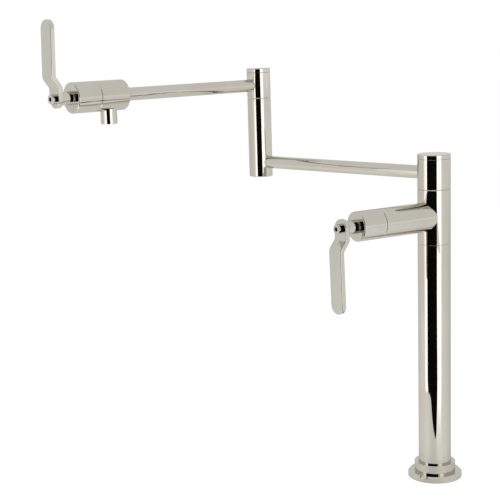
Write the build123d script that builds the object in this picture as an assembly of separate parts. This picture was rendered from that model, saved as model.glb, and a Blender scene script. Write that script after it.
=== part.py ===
from build123d import *
import math
import os

# Deck mount pot filler, in millimetres.
# Origin: centre of the base flange's underside, on the column's axis. +Z is up.
# The rest pose has both levers closed, with the arms swung as a user leaves them.

# Driving dimensions of the base
flange_radius = 33.0
flange_height = 7.4
flange_bevel = 2.4
collar_radius = 25.0
collar_top = 19.0
gasket_inner_radius = 24.0
gasket_outer_radius = 30.0
gasket_height = 1.5
base_boss_radius = 21.0

# Fixing below the deck
deck_thickness = 30.0
shank_radius = 16.0
shank_plain_length = 25.0
shank_thread_radius = 15.5
shank_length = 70.0
shank_entry = 8.0
shank_bore = 6.0
washer_radius = 27.0
rubber_washer_height = 2.5
steel_washer_height = 2.0
locknut_across_flats = 46.0
locknut_height = 12.0
inlet_thread_radius = 10.4
inlet_thread_length = 15.0
inlet_hex_across_flats = 24.0
inlet_hex_height = 6.0
inlet_spigot_radius = 9.0
inlet_spigot_length = 10.0
inlet_bore = 6.5
inlet_seal_height = 1.5

# Column
column_radius = 20.0
column_wall = 2.5
column_tube_length = 273.8
valve_block_height = 65.6
column_cap_height = 5.7
tube_spigot_length = 14.0
supply_radius = 7.0
supply_wall = 1.0
supply_bottom = -12.0
supply_entry = 13.2
supply_seal_section = 1.6
supply_seal_inset = 5.0

# Valve barrel, which plugs into the valve block with a spigot
valve_rise = 32.6
valve_azimuth = 212.4
valve_barrel_radius = 17.7
valve_joint = 85.5
valve_spigot_radius = 13.0
valve_spigot_length = 9.0
passage_radius = 4.0
return_radius = 3.2
return_offset = 8.5
riser_radius = 6.0

# First arm and the elbow post
arm_radius = 8.0
arm_wall = 1.5
lower_arm_rise = 18.9
lower_arm_azimuth = 137.9
lower_arm_length = 275.0
elbow_radius = 15.5
elbow_drop = 19.3
elbow_post_length = 103.6
elbow_cap_height = 5.5
elbow_bore = 7.0
elbow_floor = 8.0

# Second arm and the spout
upper_arm_rise = 17.0
upper_arm_azimuth = 219.6
spout_radius = 18.5
spout_rear = 217.2
spout_arm_socket = 10.8
spout_inner_wall = 1.5
outlet_setback = 20.8
outlet_radius = 10.0
outlet_bore = 6.5
outlet_drop = 33.9
outlet_seat_depth = 4.0
outlet_spigot_radius = 8.0
aerator_radius = 8.6
aerator_height = 7.5
aerator_wall = 1.6
aerator_inset = 0.4
screen_height = 1.2
screen_hole_radius = 1.1
screen_hole_circle = 4.2
screen_hole_count = 6

# Swivels: a hollow post screwed into the lower part carries the upper part
column_post_radius = 10.0
column_post_bore = 6.0
column_post_thread_radius = 12.5
elbow_post_radius = 8.0
elbow_post_bore = 4.6
elbow_post_thread_radius = 10.0
post_thread_length = 14.0
post_port_radius = 3.2
post_blind_end = 4.5
seal_offset = 8.5
seal_section = 1.6
port_groove_depth = 2.2
port_groove_half_height = 5.0
clip_seat_offset = 10.8
clip_thickness = 1.2
clip_depth = 1.0
clip_reach = 2.4
clip_gap = 7.0
post_end_offset = 13.6
column_post_headroom = 1.5
elbow_post_headroom = 0.9
cap_recess = 4.4
cap_spigot_length = 2.4
swivel_gap = 0.6
washer_inset = 0.9
column_arm_socket_floor = 14.0
elbow_arm_socket_floor = 11.0

# Cartridges and bonnets, measured along the barrel from its joint ring
cavity_radius = 12.0
cavity_depth = 28.0
bonnet_thread_radius = 15.0
bonnet_thread_length = 6.0
bonnet_length = 32.6
bonnet_wall = 8.0
bonnet_cavity_radius = 12.6
bonnet_round = 1.6
cartridge_seal_height = 2.0
cartridge_barrel_radius = 9.5
cartridge_thread_start = -8.0
cartridge_thread_end = 4.0
cartridge_hex_across_flats = 20.0
cartridge_hex_height = 4.0
disc_radius = 7.4
fixed_disc_height = 4.0
moving_disc_height = 3.0
disc_port_radius = 2.0
disc_port_offset = 4.2
yoke_leg_height = 5.8
yoke_leg_width = 5.0
yoke_leg_thickness = 2.2
yoke_flange_height = 3.6
window_width = 8.0
stem_radius = 4.0
stem_square = 5.6
stem_seal_section = 1.2
stem_end = 21.0

# Levers
hub_start = 12.0
hub_radius = 8.0
hub_flange_radius = 10.4
hub_flange_height = 3.4
hub_reach = 16.5
hub_square = 8.0
column_lever_length = 99.4
spout_lever_length = 91.7
lever_width = 22.0
lever_thickness = 6.0
lever_edge = 1.0
jog_start = 13.5
jog_run = 11.3
jog_offset = 8.5
jog_bend = 8.0
paddle_lean = 1.6
screw_head_radius = 5.75
screw_head_height = 5.6
screw_radius = 3.0
screw_length = 16.0
hex_key = 5.0
hex_key_depth = 3.2

# Fits and small edges
running_clearance = 0.05
seat_clearance = 0.02
rim_chamfer = 0.35
end_chamfer = 0.9
overlap = 2.0

# Heights above the deck, from the bottom up
column_joint_height = collar_top + column_tube_length
supply_top = column_joint_height + supply_entry
valve_height = column_joint_height + valve_rise
column_swivel_height = column_joint_height + valve_block_height
lower_arm_height = column_swivel_height + lower_arm_rise
column_cap_joint_height = lower_arm_height + post_end_offset + column_post_headroom + cap_spigot_length
elbow_bottom = lower_arm_height - elbow_drop
elbow_swivel_height = elbow_bottom + elbow_post_length
upper_arm_height = elbow_swivel_height + upper_arm_rise
elbow_cap_joint_height = upper_arm_height + post_end_offset + elbow_post_headroom + cap_spigot_length

# Distances from the elbow's axis along the second arm
spout_joint = spout_rear + spout_arm_socket + spout_inner_wall + cavity_depth
outlet_position = spout_rear + outlet_setback

# Solids are centred on Z and stand on their start height
standing = (Align.CENTER, Align.CENTER, Align.MIN)


def stack(*steps):
    """Coaxial cylinders along Z, each step given as (from, to, radius)."""
    body = None
    for start, end, radius in steps:
        step = Pos(0, 0, start) * Cylinder(radius, end - start, align=standing)
        body = step if body is None else body + step
    return body


def ring(start, end, outer_radius, inner_radius):
    """Plain ring or tube along Z."""
    return stack((start, end, outer_radius)) - stack((start, end, inner_radius))


def hexagon(start, end, across_flats):
    """Hexagonal bar along Z."""
    outline = RegularPolygon(across_flats / 2, 6, major_radius=False)
    return Pos(0, 0, start) * extrude(outline, end - start)


def square_bar(start, end, side):
    """Square bar along Z."""
    return Pos(0, 0, start) * Box(side, side, end - start, align=standing)


def rims(part, *places):
    """Circular edges of a turned part, each place given as (height, radius)."""
    found = []
    for edge in part.edges().filter_by(GeomType.CIRCLE):
        for height, radius in places:
            if abs(edge.arc_center.Z - height) < 0.01 and abs(edge.radius - radius) < 0.01:
                found.append(edge)
    return found


def ring_seal(height, outer_radius, section):
    """O-ring about Z, squeezed to fill its square groove up to outer_radius."""
    return ring(height - section / 2, height + section / 2, outer_radius, outer_radius - section)


def direction(azimuth):
    """Horizontal unit vector at an azimuth in degrees from +X."""
    angle = math.radians(azimuth)
    return Vector(math.cos(angle), math.sin(angle), 0)


def barrel_frame(origin, azimuth):
    """Frame whose local Z runs along a horizontal barrel or arm and whose local X is up."""
    return Plane(origin=origin, x_dir=(0, 0, 1), z_dir=direction(azimuth))


elbow_centre = direction(lower_arm_azimuth) * lower_arm_length
valve_frame = barrel_frame(Vector(0, 0, valve_height), valve_azimuth)
lower_arm_frame = barrel_frame(Vector(0, 0, lower_arm_height), lower_arm_azimuth)
elbow_inlet_frame = barrel_frame(elbow_centre + Vector(0, 0, lower_arm_height), lower_arm_azimuth + 180)
upper_arm_frame = barrel_frame(elbow_centre + Vector(0, 0, upper_arm_height), upper_arm_azimuth)
outlet_frame = Plane(
    origin=elbow_centre + Vector(0, 0, upper_arm_height) + direction(upper_arm_azimuth) * outlet_position,
    x_dir=direction(upper_arm_azimuth),
    z_dir=(0, 0, -1),
)
nodes = {}


def base():
    """Flange, collar, shank and the fixings under the deck."""
    gasket_groove = ring(0, gasket_height, gasket_outer_radius, gasket_inner_radius)
    flange = stack((0, flange_height, flange_radius))
    flange = chamfer(rims(flange, (flange_height, flange_radius)), flange_bevel)
    flange -= stack((0, flange_height, base_boss_radius))
    nodes["escutcheon"] = flange - gasket_groove
    nodes["deck_gasket"] = gasket_groove

    tube_bore = column_radius - column_wall
    collar = stack(
        (0, flange_height, base_boss_radius - seat_clearance),
        (flange_height, collar_top, collar_radius),
        (collar_top, collar_top + tube_spigot_length, tube_bore - seat_clearance),
    )
    collar = chamfer(rims(collar, (collar_top, collar_radius)), rim_chamfer)
    collar -= stack(
        (0, shank_entry, shank_thread_radius + seat_clearance),
        (shank_entry, collar_top + tube_spigot_length, supply_radius + running_clearance),
    )
    nodes["base_collar"] = collar

    shank = stack(
        (-shank_length, -shank_plain_length, shank_thread_radius),
        (-shank_plain_length, 0, shank_radius),
        (0, shank_entry, shank_thread_radius),
    )
    shank = chamfer(rims(shank, (-shank_length, shank_thread_radius)), end_chamfer)
    shank -= stack(
        (-shank_length, inlet_spigot_length - shank_length, inlet_spigot_radius),
        (-shank_length, supply_bottom, shank_bore),
        (supply_bottom, shank_entry, supply_radius + running_clearance),
    )
    nodes["threaded_shank"] = shank

    rubber_bottom = -deck_thickness - rubber_washer_height
    steel_bottom = rubber_bottom - steel_washer_height
    nut_bottom = steel_bottom - locknut_height
    shank_hole = stack((nut_bottom, -deck_thickness, shank_thread_radius + running_clearance))
    nodes["deck_rubber_washer"] = stack((rubber_bottom, -deck_thickness, washer_radius)) - shank_hole
    nodes["deck_steel_washer"] = stack((steel_bottom, rubber_bottom, washer_radius)) - shank_hole
    nodes["shank_locknut"] = hexagon(nut_bottom, steel_bottom, locknut_across_flats) - shank_hole

    hex_top = -shank_length - inlet_seal_height
    hex_bottom = hex_top - inlet_hex_height
    thread_bottom = hex_bottom - inlet_thread_length
    adapter = stack(
        (thread_bottom, hex_bottom, inlet_thread_radius),
        (hex_top, inlet_spigot_length - shank_length, inlet_spigot_radius - seat_clearance),
    )
    adapter = chamfer(rims(adapter, (thread_bottom, inlet_thread_radius)), end_chamfer)
    adapter += hexagon(hex_bottom, hex_top, inlet_hex_across_flats)
    nodes["inlet_adapter"] = adapter - stack((thread_bottom, inlet_spigot_length - shank_length, inlet_bore))
    nodes["inlet_seal"] = ring(hex_top, -shank_length, inlet_hex_across_flats / 2, inlet_spigot_radius)


def column():
    """Column tube and the supply tube inside it, with its two seals."""
    tube = stack((collar_top, column_joint_height, column_radius))
    tube = chamfer(rims(tube, (column_joint_height, column_radius)), rim_chamfer)
    nodes["column_tube"] = tube - stack((collar_top, column_joint_height, column_radius - column_wall))

    supply = ring(supply_bottom, supply_top, supply_radius, supply_radius - supply_wall)
    half = supply_seal_section / 2
    groove_floor = supply_radius - supply_wall / 2
    seals = []
    for height in (supply_bottom + supply_seal_inset, supply_top - supply_seal_inset):
        supply -= ring(height - half, height + half, supply_radius + overlap, groove_floor)
        seals.append(ring(height - half, height + half, supply_radius, groove_floor))
    nodes["supply_tube"] = supply
    nodes["supply_tube_seals"] = Compound(children=seals)


def barrel(radius, joint, start):
    """Outside of a valve barrel, with the screwed spigot that takes its bonnet."""
    shell = stack((start, joint, radius))
    shell = chamfer(rims(shell, (joint, radius)), rim_chamfer)
    return shell + stack((joint, joint + bonnet_thread_length, bonnet_thread_radius))


def barrel_cavity(joint):
    """Bore of a barrel for its cartridge."""
    return stack((joint - cavity_depth, joint + bonnet_thread_length, cavity_radius))


def valve_block():
    """Column section between the two joints, and the valve barrel that is saddled on it."""
    tube_bore = column_radius - column_wall
    block = stack((column_joint_height, column_swivel_height, column_radius))
    block = chamfer(
        rims(block, (column_joint_height, column_radius), (column_swivel_height, column_radius)), rim_chamfer
    )
    spigot_bottom = column_joint_height - tube_spigot_length
    block += stack((spigot_bottom, column_joint_height, tube_bore - seat_clearance))
    block -= stack(
        (spigot_bottom, supply_top, supply_radius + running_clearance),
        (supply_top, valve_height, riser_radius),
    )
    block -= stack(
        (valve_height + return_offset, column_swivel_height, riser_radius),
        (column_swivel_height - post_thread_length, column_swivel_height, column_post_thread_radius),
    )
    socket_floor = column_radius - valve_spigot_length
    socket_mouth = column_radius + overlap
    block -= valve_frame * stack((socket_floor, socket_mouth, valve_spigot_radius))

    shell = valve_frame * barrel(valve_barrel_radius, valve_joint, 0)
    shell -= stack((column_joint_height, column_swivel_height, column_radius + seat_clearance))
    shell += valve_frame * stack((socket_floor, socket_mouth, valve_spigot_radius - seat_clearance))
    shell -= valve_frame * barrel_cavity(valve_joint)

    for offset, radius in ((0, passage_radius), (return_offset, return_radius)):
        waterway = valve_frame * Pos(offset, 0, 0) * stack((0, valve_joint - cavity_depth, radius))
        block -= waterway
        shell -= waterway
    nodes["valve_block"] = block
    nodes["valve_barrel"] = shell


def cartridge(prefix, frame, joint, barrel_radius, lever_sign, lever_length):
    """Quarter-turn cartridge, bonnet, hub, lever and screw of one valve.

    lever_sign is 1 for a lever that points up when closed, and -1 for one that points down.
    lever_length runs from the lever's axis to the tip of its paddle.
    """
    place = frame * Pos(0, 0, joint)
    seal_start = -cavity_depth
    disc_start = seal_start + cartridge_seal_height
    moving_start = disc_start + fixed_disc_height
    yoke_start = moving_start + moving_disc_height
    flange_start = yoke_start + yoke_leg_height
    flange_end = flange_start + yoke_flange_height
    hex_end = cartridge_thread_end + cartridge_hex_height

    seal = ring(seal_start, disc_start, cartridge_barrel_radius, passage_radius)
    nodes[prefix + "_cartridge_seal"] = place * seal

    shell = stack(
        (disc_start, cartridge_thread_start, cartridge_barrel_radius),
        (cartridge_thread_start, cartridge_thread_end, cavity_radius - seat_clearance),
    )
    shell += hexagon(cartridge_thread_end, hex_end, cartridge_hex_across_flats)
    shell -= stack(
        (disc_start, flange_end, disc_radius + running_clearance),
        (flange_end, hex_end, stem_radius + running_clearance),
    )
    window = Pos(0, 0, yoke_start) * Box(
        window_width,
        2 * cartridge_barrel_radius + overlap,
        yoke_leg_height,
        align=standing,
    )
    nodes[prefix + "_cartridge_body"] = place * (shell - window)

    fixed_disc = stack((disc_start, moving_start, disc_radius))
    fixed_port = stack((disc_start, moving_start, disc_port_radius))
    moving_disc = stack((moving_start, yoke_start, disc_radius))
    moving_port = stack((moving_start, yoke_start, disc_port_radius))
    for side in (1, -1):
        fixed_disc -= Pos(side * disc_port_offset, 0, 0) * fixed_port
        moving_disc -= Pos(0, side * disc_port_offset, 0) * moving_port
        moving_disc -= Pos(0, side * disc_radius, moving_start) * Box(
            2 * disc_port_radius,
            2 * (disc_radius - disc_port_offset),
            moving_disc_height,
            align=standing,
        )
    nodes[prefix + "_fixed_disc"] = place * fixed_disc
    nodes[prefix + "_moving_disc"] = place * moving_disc

    stem = stack((flange_start, flange_end, disc_radius), (flange_end, hub_start, stem_radius))
    stem += square_bar(hub_start, stem_end, stem_square)
    leg_radius = disc_radius - yoke_leg_thickness / 2
    for side in (1, -1):
        leg = Pos(side * leg_radius, 0, yoke_start) * Box(
            yoke_leg_thickness,
            yoke_leg_width,
            yoke_leg_height,
            align=standing,
        )
        stem += leg & stack((yoke_start, flange_start, disc_radius))
    half = stem_seal_section / 2
    stem -= ring(-half, half, stem_radius + overlap, stem_radius - stem_seal_section)
    nodes[prefix + "_valve_stem"] = place * stem
    nodes[prefix + "_stem_seal"] = place * ring_seal(0, stem_radius, stem_seal_section)

    bonnet = stack((0, bonnet_length, barrel_radius))
    bonnet = chamfer(rims(bonnet, (0, barrel_radius)), rim_chamfer)
    bonnet = fillet(rims(bonnet, (bonnet_length, barrel_radius)), bonnet_round)
    wall_start = bonnet_length - bonnet_wall
    bonnet -= stack(
        (0, bonnet_thread_length, bonnet_thread_radius + seat_clearance),
        (bonnet_thread_length, wall_start, bonnet_cavity_radius),
        (wall_start, bonnet_length, hub_radius + running_clearance),
    )
    nodes[prefix + "_bonnet"] = place * bonnet

    eye_back = bonnet_length + hub_reach
    eye_front = eye_back + lever_thickness
    hub_flange_end = wall_start - running_clearance
    hub = stack(
        (hub_start, eye_back, hub_radius),
        (hub_flange_end - hub_flange_height, hub_flange_end, hub_flange_radius),
    )
    hub += square_bar(eye_back, eye_front - running_clearance, hub_square)
    hub -= square_bar(hub_start, stem_end, stem_square + 2 * seat_clearance)
    hub -= stack((eye_front - screw_length, eye_front, screw_radius + seat_clearance))
    nodes[prefix + "_lever_hub"] = place * hub

    nodes[prefix + "_lever"] = place * Pos(0, 0, eye_back) * lever(lever_sign, lever_length)

    screw_end = eye_front + screw_head_height
    screw = stack(
        (eye_front - screw_length, eye_front, screw_radius),
        (eye_front, screw_end, screw_head_radius),
    )
    screw = fillet(rims(screw, (screw_end, screw_head_radius)), rim_chamfer * 2)
    screw -= hexagon(screw_end - hex_key_depth, screw_end, hex_key)
    nodes[prefix + "_lever_screw"] = place * screw


def lever(sign, length):
    """Flat bar with a round eye, a double bend outwards and a round paddle end.

    The eye is centred on Z with its back face at zero, and the bar runs along sign * X.
    """
    middle = lever_thickness / 2
    end_radius = lever_width / 2
    jog_end = jog_start + jog_run
    tip = length + overlap
    lean = math.tan(math.radians(paddle_lean)) * (tip - jog_end)
    path = FilletPolyline(
        (-end_radius - overlap, 0, middle),
        (jog_start, 0, middle),
        (jog_end, 0, middle + jog_offset),
        (tip, 0, middle + jog_offset - lean),
        radius=jog_bend,
    )
    section = Plane(origin=path @ 0, x_dir=(0, 1, 0), z_dir=path % 0) * Rectangle(
        lever_width + 2 * overlap, lever_thickness
    )
    outline = Pos((length - end_radius) / 2, 0, -overlap) * SlotOverall(length + end_radius, lever_width)
    bar = sweep(section, path) & extrude(outline, lever_thickness + jog_offset + 2 * overlap)
    outline_edges = [
        edge for edge in bar.edges()
        if edge.geom_type != GeomType.LINE or abs(edge.tangent_at(0.5).X) > 0.5
    ]
    bar = fillet(outline_edges, lever_edge)
    bar -= square_bar(0, lever_thickness, hub_square + 2 * seat_clearance)
    return bar if sign > 0 else Rot(0, 0, 180) * bar


def swivel_post(prefix, base_height, port_height, thread_radius, radius, bore):
    """Hollow post that carries a swivelling head, with its seals, thrust washer and clip."""
    port = port_height - base_height
    top = port + post_end_offset
    post = stack((-post_thread_length, 0, thread_radius - seat_clearance), (0, top, radius))
    post = chamfer(rims(post, (top, radius)), rim_chamfer)
    post -= stack((-post_thread_length, port + post_blind_end, bore))
    cross_hole = Rot(0, 90, 0) * Cylinder(post_port_radius, 2 * radius + overlap)
    for turn in (0, 90):
        post -= Pos(0, 0, port) * Rot(0, 0, turn) * cross_hole
    half = seal_section / 2
    seals = []
    for height in (port - seal_offset, port + seal_offset):
        post -= ring(height - half, height + half, radius + overlap, radius - seal_section)
        seals.append(ring_seal(height, radius, seal_section))
    clip_start = port + clip_seat_offset + running_clearance
    clip_end = clip_start + clip_thickness
    post -= ring(clip_start, clip_end, radius + overlap, radius - clip_depth)
    clip = ring(clip_start, clip_end, radius + clip_reach, radius - clip_depth)
    clip -= Pos(radius, 0, clip_start) * Box(
        2 * radius, clip_gap, clip_thickness, align=standing
    )
    return {
        prefix + "_swivel_post": post,
        prefix + "_swivel_seals": Compound(children=seals),
        prefix + "_retaining_clip": clip,
    }


def thrust_washer(housing_radius, post_radius):
    """Low friction washer in the gap between the two halves of a swivel."""
    return ring(0, swivel_gap, housing_radius - washer_inset, post_radius + running_clearance)


def swivel_head(base_height, cap_height, port_height, housing_radius, post_radius):
    """Outer head that turns on a swivel post, without its arm socket. Heights are absolute."""
    port = port_height - base_height
    top = cap_height - base_height
    seat = port + clip_seat_offset
    head = stack((swivel_gap, top, housing_radius))
    head = chamfer(rims(head, (swivel_gap, housing_radius), (top, housing_radius)), rim_chamfer)
    head -= stack(
        (swivel_gap, seat, post_radius + running_clearance),
        (port - port_groove_half_height, port + port_groove_half_height, post_radius + port_groove_depth),
        (seat, top, post_radius + cap_recess),
    )
    return head


def swivel_cap(start, cap_height, housing_radius, post_radius):
    """Screwed cap that closes a swivel head."""
    top = start + cap_height
    cap = stack((start, top, housing_radius))
    cap = chamfer(rims(cap, (start, housing_radius)), rim_chamfer)
    cap = chamfer(rims(cap, (top, housing_radius)), end_chamfer)
    return cap + stack((start - cap_spigot_length, start, post_radius + cap_recess - seat_clearance))


def arm_socket(frame, floor, inner, mouth):
    """Socket for the end of an arm tube and the hole from it to the part's waterway."""
    return frame * stack((floor, mouth, arm_radius + seat_clearance), (inner, floor, arm_radius - arm_wall))


def arm_tube(frame, start, end):
    """Straight arm tube between two socket floors."""
    return frame * ring(start, end, arm_radius, arm_radius - arm_wall)


def lower_arm():
    """Column head, first arm and lower elbow post, which turn on the column together."""
    posts = swivel_post(
        "column", column_swivel_height, lower_arm_height,
        column_post_thread_radius, column_post_radius, column_post_bore,
    )
    lift = Pos(0, 0, column_swivel_height)
    for name, piece in posts.items():
        nodes[name] = lift * piece
    nodes["column_thrust_washer"] = lift * thrust_washer(column_radius, column_post_radius)

    head = lift * swivel_head(
        column_swivel_height, column_cap_joint_height, lower_arm_height, column_radius, column_post_radius
    )
    groove_wall = column_post_radius + port_groove_depth / 2
    head -= arm_socket(lower_arm_frame, column_arm_socket_floor, groove_wall, column_radius + overlap)
    nodes["column_head"] = head
    nodes["column_cap"] = swivel_cap(
        column_cap_joint_height, column_cap_height, column_radius, column_post_radius
    )
    nodes["lower_arm_tube"] = arm_tube(
        lower_arm_frame, column_arm_socket_floor, lower_arm_length - elbow_arm_socket_floor
    )

    post = stack((elbow_bottom, elbow_swivel_height, elbow_radius))
    post = chamfer(rims(post, (elbow_swivel_height, elbow_radius)), rim_chamfer)
    post = chamfer(rims(post, (elbow_bottom, elbow_radius)), end_chamfer)
    post -= stack(
        (elbow_bottom + elbow_floor, elbow_swivel_height, elbow_bore),
        (elbow_swivel_height - post_thread_length, elbow_swivel_height, elbow_post_thread_radius),
    )
    post = Pos(elbow_centre) * post
    post -= arm_socket(elbow_inlet_frame, elbow_arm_socket_floor, 0, elbow_radius + overlap)
    nodes["elbow_lower_post"] = post


def upper_arm():
    """Elbow head and second arm, which turn on the elbow post together."""
    posts = swivel_post(
        "elbow", elbow_swivel_height, upper_arm_height,
        elbow_post_thread_radius, elbow_post_radius, elbow_post_bore,
    )
    lift = Pos(elbow_centre) * Pos(0, 0, elbow_swivel_height)
    for name, piece in posts.items():
        nodes[name] = lift * piece
    nodes["elbow_thrust_washer"] = lift * thrust_washer(elbow_radius, elbow_post_radius)

    head = lift * swivel_head(
        elbow_swivel_height, elbow_cap_joint_height, upper_arm_height, elbow_radius, elbow_post_radius
    )
    groove_wall = elbow_post_radius + port_groove_depth / 2
    head -= arm_socket(upper_arm_frame, elbow_arm_socket_floor, groove_wall, elbow_radius + overlap)
    nodes["elbow_head"] = head
    nodes["elbow_cap"] = Pos(elbow_centre) * swivel_cap(
        elbow_cap_joint_height, elbow_cap_height, elbow_radius, elbow_post_radius
    )
    nodes["upper_arm_tube"] = arm_tube(upper_arm_frame, elbow_arm_socket_floor, spout_rear + spout_arm_socket)


def spout():
    """Spout body, outlet tube and aerator."""
    socket_end = spout_rear + spout_arm_socket
    body = barrel(spout_radius, spout_joint, spout_rear)
    body = fillet(rims(body, (spout_rear, spout_radius)), bonnet_round)
    body -= stack(
        (spout_rear, socket_end, arm_radius + seat_clearance),
        (socket_end, spout_joint - cavity_depth, passage_radius),
    )
    body -= barrel_cavity(spout_joint)
    body = upper_arm_frame * body
    seat = spout_radius - outlet_seat_depth
    body -= outlet_frame * stack(
        (0, seat, outlet_spigot_radius),
        (seat, spout_radius + overlap, outlet_radius + seat_clearance),
    )
    nodes["spout_body"] = body

    spigot_top = seat - outlet_seat_depth / 2
    tube = stack(
        (spigot_top, seat, outlet_spigot_radius - seat_clearance),
        (seat, outlet_drop, outlet_radius),
    )
    tube = chamfer(rims(tube, (outlet_drop, outlet_radius)), rim_chamfer)
    aerator_top = outlet_drop - aerator_height
    tube -= stack((spigot_top, outlet_drop, outlet_bore), (aerator_top, outlet_drop, aerator_radius))
    nodes["outlet_tube"] = outlet_frame * tube

    aerator_end = outlet_drop - aerator_inset
    screen_top = aerator_end - 2 * screen_height
    screen_radius = aerator_radius - aerator_wall
    housing = stack((aerator_top, aerator_end, aerator_radius - seat_clearance))
    housing -= stack(
        (screen_top, aerator_end, screen_radius),
        (aerator_top, screen_top, screen_radius - screen_height),
    )
    nodes["aerator_housing"] = outlet_frame * housing

    screen = stack((screen_top, screen_top + screen_height, screen_radius - seat_clearance))
    screen -= stack((screen_top, screen_top + screen_height, screen_hole_radius))
    for hole in PolarLocations(screen_hole_circle, screen_hole_count):
        screen -= hole * stack((screen_top, screen_top + screen_height, screen_hole_radius))
    nodes["aerator_screen"] = outlet_frame * screen


base()
column()
valve_block()
cartridge("column", valve_frame, valve_joint, valve_barrel_radius, -1, column_lever_length)
lower_arm()
upper_arm()
spout()
cartridge("spout", upper_arm_frame, spout_joint, spout_radius, 1, spout_lever_length)

os.makedirs("parts", exist_ok=True)
for name, piece in nodes.items():
    export_step(piece, "parts/" + name + ".step")
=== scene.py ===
import math

import bpy
from mathutils import Matrix, Vector


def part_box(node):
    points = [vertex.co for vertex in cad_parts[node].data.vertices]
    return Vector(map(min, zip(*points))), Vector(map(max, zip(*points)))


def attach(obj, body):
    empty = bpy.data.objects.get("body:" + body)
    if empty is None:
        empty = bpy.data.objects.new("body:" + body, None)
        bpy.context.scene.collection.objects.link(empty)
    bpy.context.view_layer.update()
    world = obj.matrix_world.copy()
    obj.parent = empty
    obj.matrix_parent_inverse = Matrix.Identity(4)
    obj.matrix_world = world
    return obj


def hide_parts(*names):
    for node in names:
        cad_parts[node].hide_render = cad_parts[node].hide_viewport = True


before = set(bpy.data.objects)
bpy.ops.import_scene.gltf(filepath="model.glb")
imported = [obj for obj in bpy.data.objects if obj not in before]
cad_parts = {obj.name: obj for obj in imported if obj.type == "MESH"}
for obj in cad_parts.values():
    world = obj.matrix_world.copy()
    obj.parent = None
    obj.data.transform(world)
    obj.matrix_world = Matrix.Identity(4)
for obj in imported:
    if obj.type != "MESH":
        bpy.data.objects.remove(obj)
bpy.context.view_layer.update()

bl_info = {
    "name": "Deck Mount Pot Filler",
    "version": (1, 0, 0),
    "blender": (4, 5, 0),
    "location": "3D View > Sidebar > Pot Filler",
    "description": "Finishes, threads, spout screen and studio for a two-arm deck mount pot filler",
    "category": "Object",
}

# Level axes of the valve, the spout arm and the lower arm, in degrees from +X towards +Y

VALVE_AZIMUTH = 212.4
SPOUT_AZIMUTH = 219.6
LOWER_ARM_AZIMUTH = 137.9

# The angle from which an edge stays sharp, and how far the end of a thread is turned off

SHARP_ANGLE = math.radians(32)
THREAD_TIP = 0.0009

# The surroundings that the metal reflects, seen from above, in metres

FLOOR_CARD_HEIGHT = 0.0004
LEFT_POST = (-0.59, -0.37)
RIGHT_POST = (0.30, -1.62)
LEFT_PANEL_END = (-0.68, -0.08)
RIGHT_PANEL_END = (0.67, -0.64)
DARK_LEFT_SIDE = [(-0.01, -0.17), (-0.19, -0.29), (-0.23, -0.29), (-0.32, -0.23), (-0.38, -0.24), LEFT_POST]
DARK_RIGHT_SIDE = [(0.01, -0.20), (0.03, -0.27), (0.09, -0.45), (0.18, -1.03), RIGHT_POST]
LEFT_TABLE_LIGHT = [(-0.32, -0.23), (-0.38, -0.11), (-0.62, -0.12), LEFT_PANEL_END, LEFT_POST, (-0.38, -0.24)]
RIGHT_TABLE_LIGHT = [(0.02, -0.09), (0.05, -0.07), (0.15, -0.21), (1.03, -1.20)]

# Brightness of the pale table and of the room behind it: (bearing in degrees from +X, share of white)

TABLE_TONES = [
    (-180, 1.0), (-150, 1.1), (-110, 0.85), (-60, 1.15), (-30, 1.05), (30, 0.85), (120, 0.9), (180, 1.0)]
ROOM_TONES = [(-180, 0.95), (-150, 1.1), (-60, 1.15), (30, 1.1), (90, 0.85), (180, 0.95)]

# Where a glow begins and is full, how bright it begins, and how high the standing cards reach

LEFT_PANEL_FULL = (-0.60, -0.28)
RIGHT_PANEL_FULL = (0.60, -0.86)
TABLE_GLOW_EDGE = (0.044, -0.090)
TABLE_GLOW_FULL = (0.188, -0.387)
PANEL_EDGE_GLOW = 1.15
TABLE_EDGE_GLOW = 1.08
PANEL_TOP = 0.5
RIGHT_PANEL_FOOT = 0.1
DARK_WALL_TOP = 1.3

# The lights: two tall ones on lines seen from above, one overhead, and the object's middle, in metres

LEFT_LIGHT = ((-0.522, -0.262), (-0.95, 0.05))
RIGHT_LIGHT = ((0.027, -1.15), (0.72, -0.85))
LIGHT_HEIGHT = 1.5
OVERHEAD_PLACE = (-0.2, 0.2, 2.3)
OVERHEAD_WIDTH = 2.4
OVERHEAD_LENGTH = 2.0
OBJECT_MIDDLE = (-0.1, 0)

# How far the floor reaches, and the share of its look that is its own glow

FLOOR_REACH = 9
FLOOR_GLOW_SHARE = 0.82

# The camera: place in metres, pitch and roll in radians, lens in millimetres

CAMERA_PLACE = (-0.222, -1.482, 0.557)
CAMERA_PITCH = 0.1779
CAMERA_ROLL = -0.0295
CAMERA_LENS = 90.0


# Properties a user may change

class PotFillerNickel(bpy.types.PropertyGroup):
    """The polished nickel plate"""
    colour: bpy.props.FloatVectorProperty(
        name="Nickel", description="Colour of the polished nickel plate",
        subtype="COLOR", size=3, min=0, max=1, default=(0.565, 0.545, 0.487))
    shade: bpy.props.FloatVectorProperty(
        name="Tint", description="Colour of the slightly warmer patches in the plate",
        subtype="COLOR", size=3, min=0, max=1, default=(0.555, 0.525, 0.462))
    edge: bpy.props.FloatVectorProperty(
        name="Edge tint", description="Tint of the plate at grazing angles",
        subtype="COLOR", size=3, min=0, max=1, default=(0.86, 0.85, 0.83))
    roughness: bpy.props.FloatProperty(
        name="Roughness", description="Roughness of the clean plate", min=0, max=1, default=0.035)
    marks: bpy.props.FloatProperty(
        name="Handling marks", description="Roughness that handling marks add", min=0, max=1, default=0.025)
    waviness: bpy.props.FloatProperty(
        name="Waviness", description="Depth of the slow waves that hand polishing leaves",
        subtype="DISTANCE", min=0, max=0.001, precision=6, default=0.000005)


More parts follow.
